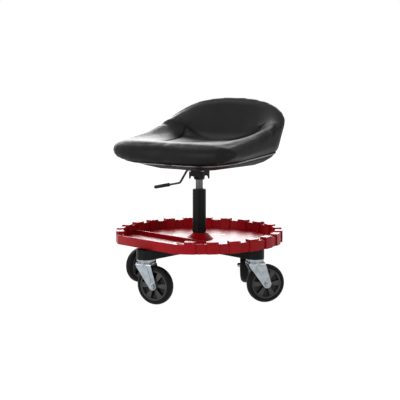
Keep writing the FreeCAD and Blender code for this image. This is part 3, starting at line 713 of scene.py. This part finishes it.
@dataclass
class Seat:
    """The upholstered bucket seat: cushion, piping, shell and what holds them."""

    workshop: Workshop
    voxel: float = 0.0055
    draw_in: float = 0.0030
    settle: tuple[float, float] = (0.5, -0.52)
    settle_rounds: int = 8
    pressure: float = 4.0
    quality: int = 5
    stretch_stiffness: float = 25.0
    bend_stiffness: float = 2.0
    most_swell: float = 0.007
    even_share: float = 0.6
    even_rounds: int = 14
    crease_share: float = 0.25
    fill_out: float = 0.0046
    frames: int = 20
    seam_level: float = 0.4685
    seam_slope: float = 0.093
    seam_clear: float = 0.028
    crest_lift: float = 0.008
    crest_half_width: float = 0.055
    crest_y: float = -0.185
    crest_front: float = 0.02
    crest_depth: float = 0.075
    crest_gain: float = 1.5
    thigh_seam: tuple[tuple[float, float], tuple[float, float]] = ((0.066, -0.130), (0.155, 0.128))
    thigh_seam_width: float = 0.0042
    thigh_seam_depth: float = 0.0050
    thigh_tuck_width: float = 0.020
    thigh_tuck_depth: float = 0.0040
    thigh_front_fade: float = 0.050
    thigh_rear_fade: float = 0.006
    upward_gain: float = 1.6
    upward_start: float = 0.3
    back_seam_level: float = 0.4695
    back_seam_curve: float = 2.0
    back_seam_reach: float = 0.19
    back_seam_lean: float = 0.666
    back_seam_width: float = 0.0050
    back_seam_depth: float = 0.0060
    back_seam_fade: float = 0.05
    back_seam_facing: float = 0.4
    back_seam_front: float = 0.06
    back_seam_least_slope: float = 0.35
    stitch_pitch: float = 0.0062
    stitch_beside: float = 0.0062
    stitch_half_length: float = 0.0023
    stitch_half_width: float = 0.00055
    stitch_flat: float = 0.9
    stitch_lift: float = 0.0001
    stitch_sides: int = 8
    stitch_rings: int = 6
    thread_crease: float = 80.0
    cover_crease: float = 70.0
    hard_crease: float = 40.0
    welt_edge: float = 0.0012
    shell_edge: float = 0.0010
    bolt_edge: float = 0.0005
    above_seat: float = 0.9
    back_line_half: int = 44
    back_line_end: float = 0.012
    back_line_start: float = 0.075
    back_line_step: float = 0.0006
    back_line_steps: int = 160
    thigh_line_start: float = 0.05
    thigh_line_run: float = 0.90
    thigh_line_steps: int = 60
    turn: Matrix = field(default_factory=lambda: Matrix.Rotation(SEAT_TURN, 4, "Z"))

    def evened(self, mesh: bpy.types.Mesh, values: np.ndarray, shares: list[float]) -> np.ndarray:
        """Numbers at a mesh's points, each moved toward the mean of its neighbours, round after round.

        Args:
            mesh: the mesh whose edges join the points.
            values: one row for each point.
            shares: how far toward the mean each round moves.

        Returns:
            The evened numbers.
        """
        pairs = np.empty(len(mesh.edges) * 2, dtype=np.int32)
        mesh.edges.foreach_get("vertices", pairs)
        first, second = pairs.reshape(-1, 2).T
        count = len(mesh.vertices)
        near = np.maximum(np.bincount(pairs, minlength=count), 1)[:, None]
        for share in shares:
            columns = [
                np.bincount(first, column[second], count) + np.bincount(second, column[first], count)
                for column in values.T
            ]
            values = values + share * (np.stack(columns, axis=1) / near - values)
        return values

    def places(self, mesh: bpy.types.Mesh) -> np.ndarray:
        """The places of a mesh's points, one row each.

        Args:
            mesh: the mesh.

        Returns:
            The places.
        """
        flat = np.empty(len(mesh.vertices) * 3)
        mesh.vertices.foreach_get("co", flat)
        return flat.reshape(-1, 3)

    def normals(self, mesh: bpy.types.Mesh) -> np.ndarray:
        """The outward directions at a mesh's points, one row each.

        Args:
            mesh: the mesh.

        Returns:
            The directions, of length 1.
        """
        flat = np.empty(len(mesh.vertices) * 3)
        mesh.vertex_normals.foreach_get("vector", flat)
        return flat.reshape(-1, 3)

    def put(self, mesh: bpy.types.Mesh, places: np.ndarray) -> None:
        """Moves a mesh's points."""
        mesh.vertices.foreach_set("co", places.ravel())
        mesh.update()

    def start_shape(self) -> bpy.types.Object:
        """The cushion's frame solid as an even, slightly drawn-in skin of quads.

        Returns:
            The skin, as an object to work on.
        """
        shape = self.workshop.merged_copy("seat_pad")
        bmesh.ops.recalc_face_normals(shape, faces=shape.faces)
        piece = bpy.data.objects.new("cushion_start", self.workshop.mesh_from(shape))
        bpy.context.scene.collection.objects.link(piece)
        remesh = piece.modifiers.new("skin", "REMESH")
        remesh.mode = "VOXEL"
        remesh.voxel_size = self.voxel
        mesh = self.evaluated(piece)
        start = self.places(mesh)
        self.put(mesh, self.evened(mesh, start, list(self.settle) * self.settle_rounds))
        free = self.freedom(start)[:, None]
        settled = self.places(mesh) - self.normals(mesh) * self.draw_in
        self.put(mesh, start + (settled - start) * free)
        piece.modifiers.clear()
        piece.data = mesh
        return piece

    def evaluated(self, piece: bpy.types.Object) -> bpy.types.Mesh:
        """A new mesh of a piece with its modifiers applied."""
        graph = bpy.context.evaluated_depsgraph_get()
        return bpy.data.meshes.new_from_object(piece.evaluated_get(graph))

    def own(self, places: np.ndarray) -> np.ndarray:
        """Places or directions in the seat's own, unturned frame."""
        return places @ np.array(self.turn.to_3x3())

    def freedom(self, places: np.ndarray) -> np.ndarray:
        """How free the cover is at each place: 0 where it is held at the lower seam, 1 well above it.

        Args:
            places: places in the frame, one row each.

        Returns:
            One share for each place.
        """
        own = self.own(places)
        above = own[:, 2] - self.seam_level - self.seam_slope * own[:, 1]
        return self.eased(np.clip(above / self.seam_clear, 0.0, 1.0))

    def eased(self, share: np.ndarray) -> np.ndarray:
        """Shares from 0 to 1 that start and end gently."""
        return share * share * (3.0 - 2.0 * share)

    def swell(self, piece: bpy.types.Object) -> None:
        """Fills the skin with a short cloth simulation and keeps how far each point rises within a limit.

        Args:
            piece: the skin.
        """
        start = self.places(piece.data)
        outward = self.normals(piece.data)
        free = self.freedom(start)
        held = piece.vertex_groups.new(name="held")
        for index, share in enumerate(free):
            held.add([index], 1.0 - float(share), "REPLACE")
        cloth = piece.modifiers.new("filling", "CLOTH")
        settings = cloth.settings
        settings.use_pressure = True
        settings.uniform_pressure_force = self.pressure
        settings.effector_weights.gravity = 0.0
        settings.vertex_group_mass = held.name
        settings.quality = self.quality
        settings.tension_stiffness = self.stretch_stiffness
        settings.compression_stiffness = self.stretch_stiffness
        settings.bending_stiffness = self.bend_stiffness
        cloth.collision_settings.use_self_collision = False
        scene = bpy.context.scene
        for frame in range(1, self.frames + 1):
            scene.frame_set(frame)
        mesh = self.evaluated(piece)
        rise = np.einsum("ij,ij->i", self.places(mesh) - start, outward)
        rise = np.clip(rise, 0.0, self.most_swell)[:, None]
        scene.frame_set(1)
        piece.modifiers.clear()
        piece.vertex_groups.clear()
        even = self.evened(piece.data, rise, [self.even_share] * self.even_rounds)
        rise = (even + (rise - even) * self.crease_share)[:, 0]
        rise += self.fill_out - float(np.average(rise, weights=free + 1e-6))
        rise = np.clip(rise, self.draw_in, self.most_swell)
        self.put(piece.data, start + outward * (rise * free)[:, None])

    def seam_cut(self, away: np.ndarray, width: float, depth: float) -> np.ndarray:
        """The depth of a channel at distances from its middle."""
        return depth * np.exp(-((away / width) ** 2))

    def thigh_seams(self, own: np.ndarray, normals: np.ndarray) -> np.ndarray:
        """How deep the two seams between the pan and the side bolsters draw the cover in.

        Args:
            own: places in the seat's own frame.
            normals: the directions there.

        Returns:
            One depth for each place.
        """
        (x0, y0), (x1, y1) = self.thigh_seam
        length = math.hypot(x1 - x0, y1 - y0)
        along = ((np.abs(own[:, 0]) - x0) * (x1 - x0) + (own[:, 1] - y0) * (y1 - y0)) / length
        away = ((np.abs(own[:, 0]) - x0) * (y1 - y0) - (own[:, 1] - y0) * (x1 - x0)) / length
        front = np.clip(along / self.thigh_front_fade, 0.0, 1.0)
        rear = np.clip((length - along) / self.thigh_rear_fade + 1.0, 0.0, 1.0)
        ends = self.eased(front * rear)
        upward = np.clip(normals[:, 2] * self.upward_gain - self.upward_start, 0.0, 1.0)
        depth = self.seam_cut(away, self.thigh_seam_width, self.thigh_seam_depth)
        return (depth + self.seam_cut(away, self.thigh_tuck_width, self.thigh_tuck_depth)) * ends * upward

    def back_seam(self, own: np.ndarray, normals: np.ndarray) -> np.ndarray:
        """How deep the seam under the backrest's cushion draws the cover in.

        Args:
            own: places in the seat's own frame.
            normals: the directions there.

        Returns:
            One depth for each place.
        """
        x = own[:, 0]
        along_y, along_z = math.sin(self.back_seam_lean), math.cos(self.back_seam_lean)
        over = own[:, 1] * along_y + own[:, 2] * along_z - self.back_seam_level - self.back_seam_curve * x * x
        columns = [-2.0 * self.back_seam_curve * x, np.full_like(x, along_y), np.full_like(x, along_z)]
        slope = np.stack(columns, axis=1)
        slope -= normals * np.einsum("ij,ij->i", slope, normals)[:, None]
        away = over / np.maximum(np.linalg.norm(slope, axis=1), self.back_seam_least_slope)
        ends = np.clip((self.back_seam_reach - np.abs(x)) / self.back_seam_fade, 0.0, 1.0)
        most = self.back_seam_facing
        facing = np.clip(most - normals[:, 1], 0.0, most) / most * (own[:, 1] > self.back_seam_front)
        return self.seam_cut(away, self.back_seam_width, self.back_seam_depth) * ends * facing

    def back_line(self, skin: BVHTree, beside: float) -> list[Vector]:
        """Points on the cover along one side of the seam under the backrest's cushion.

        Args:
            skin: the cover's surface.
            beside: how far above the seam, along the backrest, or below it when negative.

        Returns:
            The points from one side of the seat to the other.
        """
        line = []
        rise = (math.sin(self.back_seam_lean), math.cos(self.back_seam_lean))
        for number in range(-self.back_line_half, self.back_line_half + 1):
            x = number / self.back_line_half * (self.back_seam_reach - self.back_line_end)
            level = self.back_seam_level + self.back_seam_curve * x * x + beside
            for step in range(self.back_line_steps):
                place = self.above(skin, x, self.back_line_start + step * self.back_line_step)
                if place is None:
                    continue
                own = self.turn.inverted() @ place
                if own.y * rise[0] + own.z * rise[1] > level:
                    line.append(place)
                    break
        return line

    def thigh_line(self, skin: BVHTree, side: int, beside: float) -> list[Vector]:
        """Points on the cover along one edge of a seam between the pan and a bolster.

        Args:
            skin: the cover's surface.
            side: 1 for the seam at +X and -1 for the one at -X.
            beside: how far outside the seam, or inside it when negative.

        Returns:
            The points from the front to the back.
        """
        (x0, y0), (x1, y1) = self.thigh_seam
        length = math.hypot(x1 - x0, y1 - y0)
        line = []
        for number in range(self.thigh_line_steps + 1):
            share = self.thigh_line_start + self.thigh_line_run * number / self.thigh_line_steps
            x = x0 + (x1 - x0) * share + beside * (y1 - y0) / length
            y = y0 + (y1 - y0) * share - beside * (x1 - x0) / length
            place = self.above(skin, side * x, y)
            if place is not None:
                line.append(place)
        return line

    def above(self, skin: BVHTree, x: float, y: float) -> Vector | None:
        """The highest point of the cover over a place of the seat's own, unturned frame."""
        return skin.ray_cast(self.turn @ Vector((x, y, self.above_seat)), Vector((0.0, 0.0, -1.0)))[0]

    def stitched(self, shape: bmesh.types.BMesh, skin: BVHTree, line: list[Vector]) -> None:
        """Lays stitches end to end along a line on the cover.

        Args:
            shape: the thread's mesh.
            skin: the cover's surface.
            line: the points that the stitches follow.
        """
        walked = 0.0
        for here, there in zip(line, line[1:]):
            walked += (there - here).length
            if walked < self.stitch_pitch:
                continue
            walked = 0.0
            place, normal = skin.find_nearest(there)[:2]
            along = (there - here).normalized()
            across = normal.cross(along).normalized()
            along = across.cross(normal)
            axes = Matrix((across, along, normal)).transposed().to_4x4()
            half = self.stitch_half_width
            size = Matrix.Diagonal((half, self.stitch_half_length, half * self.stitch_flat, 1.0))
            middle = Matrix.Translation(place + normal * self.stitch_lift)
            bmesh.ops.create_uvsphere(shape, u_segments=self.stitch_sides, v_segments=self.stitch_rings,
                                      radius=1.0, matrix=middle @ axes @ size)

    def thread(self, cushion: bpy.types.Object) -> bpy.types.Object:
        """The stitches on both sides of every seam of the cover.

        Args:
            cushion: the finished cushion.

        Returns:
            The piece.
        """
        mesh = cushion.data
        skin = BVHTree.FromPolygons([v.co for v in mesh.vertices], [p.vertices for p in mesh.polygons])
        shape = bmesh.new()
        for beside in (-self.stitch_beside, self.stitch_beside):
            self.stitched(shape, skin, self.back_line(skin, beside))
            for side in (-1, 1):
                self.stitched(shape, skin, self.thigh_line(skin, side, beside))
        made = self.workshop.mesh_from(shape)
        self.workshop.shade(made, self.thread_crease)
        return self.workshop.add("seat_stitches", made, THREAD, "seat", ())

    def crest(self, own: np.ndarray, normals: np.ndarray) -> np.ndarray:
        """How far the filling lifts the middle of the front edge.

        Args:
            own: places in the seat's own frame.
            normals: the directions there.

        Returns:
            One height for each place.
        """
        across = np.exp(-((own[:, 0] / self.crest_half_width) ** 2))
        along = np.exp(-((np.minimum(own[:, 1] - self.crest_y, 0.0) / self.crest_front) ** 2))
        behind = np.exp(-((np.maximum(own[:, 1] - self.crest_y, 0.0) / self.crest_depth) ** 2))
        upward = np.clip(normals[:, 2] * self.crest_gain, 0.0, 1.0)
        return self.crest_lift * across * along * behind * upward

    def sew(self, piece: bpy.types.Object) -> None:
        """Fills the front edge and draws the cover in along its seams.

        Args:
            piece: the filled skin.
        """
        mesh = piece.data
        places = self.places(mesh)
        outward = self.normals(mesh)
        own, normals = self.own(places), self.own(outward)
        rise = self.crest(own, normals) - self.thigh_seams(own, normals) - self.back_seam(own, normals)
        self.put(mesh, places + outward * (rise * self.freedom(places))[:, None])

    def finer(self, piece: bpy.types.Object) -> None:
        """Divides every face of the cushion once, smoothly.

        Args:
            piece: the skin.
        """
        smooth = piece.modifiers.new("finer", "SUBSURF")
        smooth.levels = 1
        smooth.render_levels = 1
        mesh = self.evaluated(piece)
        piece.modifiers.clear()
        piece.data = mesh

    def cushion(self) -> bpy.types.Object:
        """The padded cushion with its cover sewn down.

        Returns:
            The piece.
        """
        start = self.start_shape()
        self.swell(start)
        self.finer(start)
        self.sew(start)
        mesh = start.data
        bpy.data.objects.remove(start)
        self.workshop.shade(mesh, self.cover_crease)
        piece = self.workshop.add("seat_cushion", mesh, VINYL, "seat", ("seat_pad",))
        return piece

    def build(self) -> None:
        """Builds the cushion and dresses the pieces round it."""
        self.thread(self.cushion())
        self.workshop.dressed("seat_welt", PIPING, self.welt_edge, self.hard_crease)
        self.workshop.dressed("seat_shell", SHELL, self.shell_edge, self.hard_crease)
        self.workshop.dressed("seat_bolts", BOLT, self.bolt_edge)
        self.workshop.painted("seat_tee_nuts", BOLT)


@dataclass(frozen=True)
class Panel:
    """One soft light: an even rectangle that the camera doesn't see."""

    name: str
    place: tuple[float, float, float]
    aim: tuple[float, float, float]
    width: float
    height: float
    radiance: float

    def build(self) -> None:
        """Puts the light in the scene."""
        data = bpy.data.lights.new(self.name, "AREA")
        data.shape = "RECTANGLE"
        data.size = self.width
        data.size_y = self.height
        data.energy = self.radiance * math.pi * self.width * self.height
        light = bpy.data.objects.new(self.name, data)
        light.location = self.place
        direction = Vector(self.aim) - Vector(self.place)
        light.rotation_mode = "QUATERNION"
        light.rotation_quaternion = direction.to_track_quat("-Z", "Y")
        light.visible_camera = False
        bpy.context.scene.collection.objects.link(light)


@dataclass
class Studio:
    """The camera, the floor, the backdrop and the lights."""

    azimuth: float = math.radians(43.77)
    distance: float = 3.3874
    height: float = 0.7504
    pitch: float = math.radians(7.294)
    lens: float = 90.0
    sensor: float = 36.0
    sight: float = 200.0
    shift: float = 0.00175
    floor_half: float = 30.0
    sky_strength: float = 0.36
    floor_shadow: float = 0.12
    floor_white: float = 1.10
    floor_grey: float = 0.92

    def around(self, azimuth: float, distance: float, height: float) -> tuple[float, float, float]:
        """A place round the column, by degrees from the camera's side, distance and height."""
        angle = self.azimuth + math.radians(azimuth)
        return (math.sin(angle) * distance, -math.cos(angle) * distance, height)

    def camera(self) -> None:
        """The camera at the photographed view."""
        data = bpy.data.cameras.new("camera")
        data.lens = self.lens
        data.sensor_width = self.sensor
        data.shift_x = self.shift
        data.clip_end = self.sight
        camera = bpy.data.objects.new("camera", data)
        camera.location = self.around(0.0, self.distance, self.height)
        level = math.cos(self.pitch)
        east, north = -math.sin(self.azimuth), math.cos(self.azimuth)
        forward = Vector((east * level, north * level, -math.sin(self.pitch)))
        camera.rotation_mode = "QUATERNION"
        camera.rotation_quaternion = forward.to_track_quat("-Z", "Y")
        bpy.context.scene.collection.objects.link(camera)
        bpy.context.scene.camera = camera

    def seen(self, graph: Graph) -> Value:
        """1 for camera, mirror and glass rays, 0 for the rays that light the object.

        Args:
            graph: the material's or world's graph.

        Returns:
            The share of rays that see white.
        """
        path = graph.node("ShaderNodeLightPath", {}, {})
        names = ("Is Camera Ray", "Is Glossy Ray", "Is Transmission Ray")
        rays = [Value(graph, path.outputs[name]) for name in names]
        return (rays[0] + rays[1] + rays[2]).spread(0.0, 1.0)

    def sky(self) -> None:
        """A white surround that lights the object softly."""
        world = bpy.data.worlds.new("surround")
        bpy.context.scene.world = world
        world.use_nodes = True
        graph = Graph(world.node_tree)
        light = graph.node("ShaderNodeBackground", {}, {"Color": (1, 1, 1, 1), "Strength": self.sky_strength})
        white = graph.node("ShaderNodeBackground", {}, {"Color": (1, 1, 1, 1), "Strength": 1.0})
        shaders = {0: self.seen(graph), 1: light.outputs[0], 2: white.outputs[0]}
        mixed = graph.node("ShaderNodeMixShader", {}, shaders)
        graph.node("ShaderNodeOutputWorld", {}, {0: mixed.outputs[0]})

    def floor(self) -> None:
        """The pale floor, which keeps a faint shadow."""
        shape = bmesh.new()
        bmesh.ops.create_grid(shape, x_segments=1, y_segments=1, size=self.floor_half)
        mesh = bpy.data.meshes.new("floor")
        shape.to_mesh(mesh)
        shape.free()
        material = bpy.data.materials.new("pale_floor")
        material.use_nodes = True
        graph = Graph(material.node_tree)
        matte = graph.node("ShaderNodeBsdfDiffuse", {}, {"Color": (*[self.floor_grey] * 3, 1)})
        white = graph.node("ShaderNodeEmission", {}, {"Color": (1, 1, 1, 1), "Strength": self.floor_white})
        share = self.seen(graph) * (1.0 - self.floor_shadow)
        mixed = graph.node("ShaderNodeMixShader", {}, {0: share, 1: matte.outputs[0], 2: white.outputs[0]})
        graph.node("ShaderNodeOutputMaterial", {}, {0: mixed.outputs[0]})
        mesh.materials.append(material)
        floor = bpy.data.objects.new("floor", mesh)
        bpy.context.scene.collection.objects.link(floor)

    def build(self) -> None:
        """Builds the whole studio."""
        self.camera()
        self.sky()
        self.floor()
        low, middle = (0.0, 0.0, 0.2), (0.0, 0.0, 0.35)
        panels = [
            Panel("front_left", self.around(-48.0, 3.0, 0.85), low, 1.5, 0.9, 7.0),
            Panel("front_right", self.around(38.0, 3.0, 0.85), low, 1.2, 0.9, 3.2),
            Panel("overhead", self.around(-120.0, 0.9, 2.6), middle, 1.4, 1.2, 2.0),
            Panel("behind", self.around(189.0, 12.0, 5.4), middle, 13.0, 6.4, 7.3),
        ]
        for panel in panels:
            panel.build()
        bpy.context.scene.view_settings.view_transform = "Standard"


def main() -> None:
    """Builds every sub-assembly in order."""
    logging.basicConfig(level=logging.INFO, format="%(name)s %(message)s")
    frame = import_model()
    workshop = Workshop(frame["nodes"])
    Studio().build()
    Base(workshop).build()
    Tray(workshop).build()
    for station in STATIONS:
        Caster(workshop, station).build()
    Lift(workshop).build()
    Seat(workshop).build()


if __name__ == "__main__":
    main()
